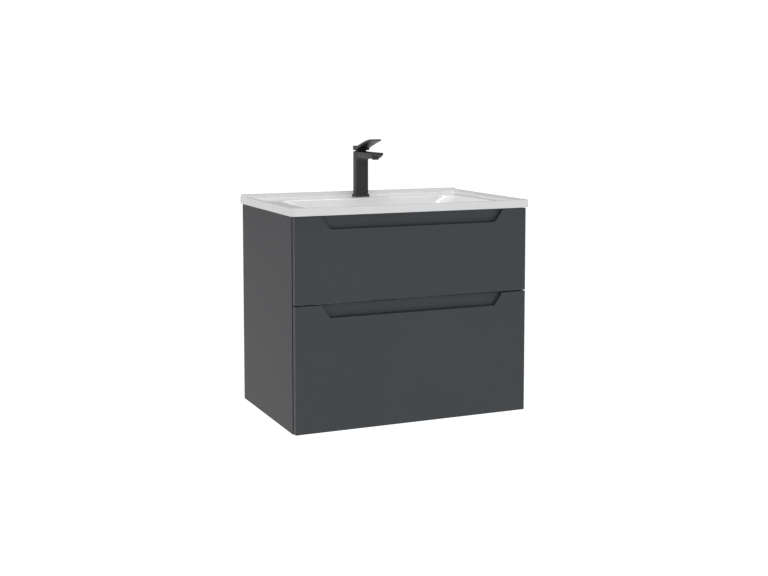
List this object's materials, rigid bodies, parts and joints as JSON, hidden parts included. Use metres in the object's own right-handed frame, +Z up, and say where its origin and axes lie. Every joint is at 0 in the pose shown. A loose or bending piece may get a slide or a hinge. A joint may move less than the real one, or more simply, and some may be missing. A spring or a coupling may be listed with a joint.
{
  "type": "bathroom vanity cabinet",
  "caption": "Wall-hung bathroom vanity with two overlay drawers that have milled finger pockets, a slim inset ceramic basin and a black single-lever mixer tap.",
  "frame": {"origin": "on the wall plane, at the centre of the four screw holes of the two wall plates", "axes": "+X to the right as seen from the front, +Y into the wall, +Z up"},
  "size_m": [0.72, 0.47, 0.7835],
  "materials": {
    "front_paint": "matt anthracite lacquer on board",
    "carcass_board": "matt anthracite laminate on particle board",
    "drawer_board": "fine grey woven-look laminate",
    "beech": "plain turned beech",
    "cast_zinc": "die cast, dull",
    "zinc_steel": "zinc plated",
    "runner_steel": "rolled, zinc plated",
    "white_plastic": "moulded, semi gloss",
    "glazed_white": "glossy white glaze",
    "sealant": "translucent silicone",
    "black_rubber": "plain",
    "soft_pad": "clear soft pad",
    "chrome": "polished",
    "black_finish": "satin black coating on brass",
    "bare_brass": "machined",
    "cartridge_plastic": "moulded",
    "aerator_plastic": "moulded black"
  },
  "bodies": {
    "cabinet": {"side_panel_left": "carcass_board", "side_panel_right": "carcass_board", "bottom_panel": "carcass_board", "front_rail": "carcass_board", "hanging_rail": "carcass_board", "lower_back_rail": "carcass_board", "carcass_dowels": "beech", "cam_locks": "cast_zinc", "cam_bolts": "zinc_steel", "carcass_screws": "zinc_steel", "hanger_housings": "white_plastic", "hanger_hooks": "zinc_steel", "wall_plates": "zinc_steel", "basin": "glazed_white", "basin_seal": "sealant", "waste_body": "chrome", "waste_seals": "black_rubber", "waste_nut": "white_plastic", "trap_inlet_pipe": "white_plastic", "trap_body": "white_plastic", "trap_cup": "white_plastic", "trap_slip_nuts": "white_plastic", "trap_outlet_pipe": "white_plastic", "tap_body": "black_finish", "tap_base_seal": "black_rubber", "tap_cartridge": "cartridge_plastic", "tap_hose_block": "bare_brass", "cartridge_nut": "bare_brass", "aerator": "aerator_plastic", "tap_stud": "zinc_steel", "tap_clamp_washer": "zinc_steel", "tap_nut": "bare_brass", "top_runner_outer": "runner_steel", "bottom_runner_outer": "runner_steel"},
    "top_drawer": {"top_drawer_front": "front_paint", "top_drawer_box_front": "drawer_board", "top_drawer_side_left": "drawer_board", "top_drawer_side_right": "drawer_board", "top_drawer_base": "drawer_board", "top_drawer_backs": "drawer_board", "cutout_sides": "drawer_board", "cutout_front": "drawer_board", "top_runner_inner": "runner_steel", "top_drawer_screws": "zinc_steel", "top_drawer_bumpers": "soft_pad"},
    "bottom_drawer": {"bottom_drawer_front": "front_paint", "bottom_drawer_box_front": "drawer_board", "bottom_drawer_side_left": "drawer_board", "bottom_drawer_side_right": "drawer_board", "bottom_drawer_base": "drawer_board", "bottom_drawer_back": "drawer_board", "bottom_runner_inner": "runner_steel", "bottom_drawer_screws": "zinc_steel", "bottom_drawer_bumpers": "soft_pad"},
    "top_runner_middles": {"top_runner_middle": "runner_steel"},
    "bottom_runner_middles": {"bottom_runner_middle": "runner_steel"},
    "lever_swivel": {"lever_carrier": "black_finish"},
    "lever": {"tap_lever": "black_finish", "lever_pin": "bare_brass"},
    "plug": {"waste_plug": "chrome"}
  },
  "joints": [
    {"name": "top_drawer_slide", "type": "slide", "parent": "cabinet", "child": "top_drawer", "axis": [0, -1, 0], "range_m": [0, 0.38]},
    {"name": "bottom_drawer_slide", "type": "slide", "parent": "cabinet", "child": "bottom_drawer", "axis": [0, -1, 0], "range_m": [0, 0.38]},
    {"name": "top_runner_slide", "type": "slide", "parent": "cabinet", "child": "top_runner_middles", "axis": [0, -1, 0], "range_m": [0, 0.19]},
    {"name": "bottom_runner_slide", "type": "slide", "parent": "cabinet", "child": "bottom_runner_middles", "axis": [0, -1, 0], "range_m": [0, 0.19]},
    {"name": "lever_swivel_turn", "type": "hinge", "parent": "cabinet", "child": "lever_swivel", "pos_m": [0, -0.075, 0.2], "axis": [0, 0, 1], "range_deg": [-45, 45]},
    {"name": "lever_tilt", "type": "hinge", "parent": "lever_swivel", "child": "lever", "pos_m": [0, -0.067, 0.206], "axis": [-1, 0, 0], "range_deg": [0, 20]},
    {"name": "plug_lift", "type": "slide", "parent": "cabinet", "child": "plug", "axis": [0, 0, 1], "range_m": [0, 0.008]}
  ],
  "couplings": [
    {"joint": "top_runner_slide", "follows": "top_drawer_slide", "ratio": 0.5},
    {"joint": "bottom_runner_slide", "follows": "bottom_drawer_slide", "ratio": 0.5}
  ]
}
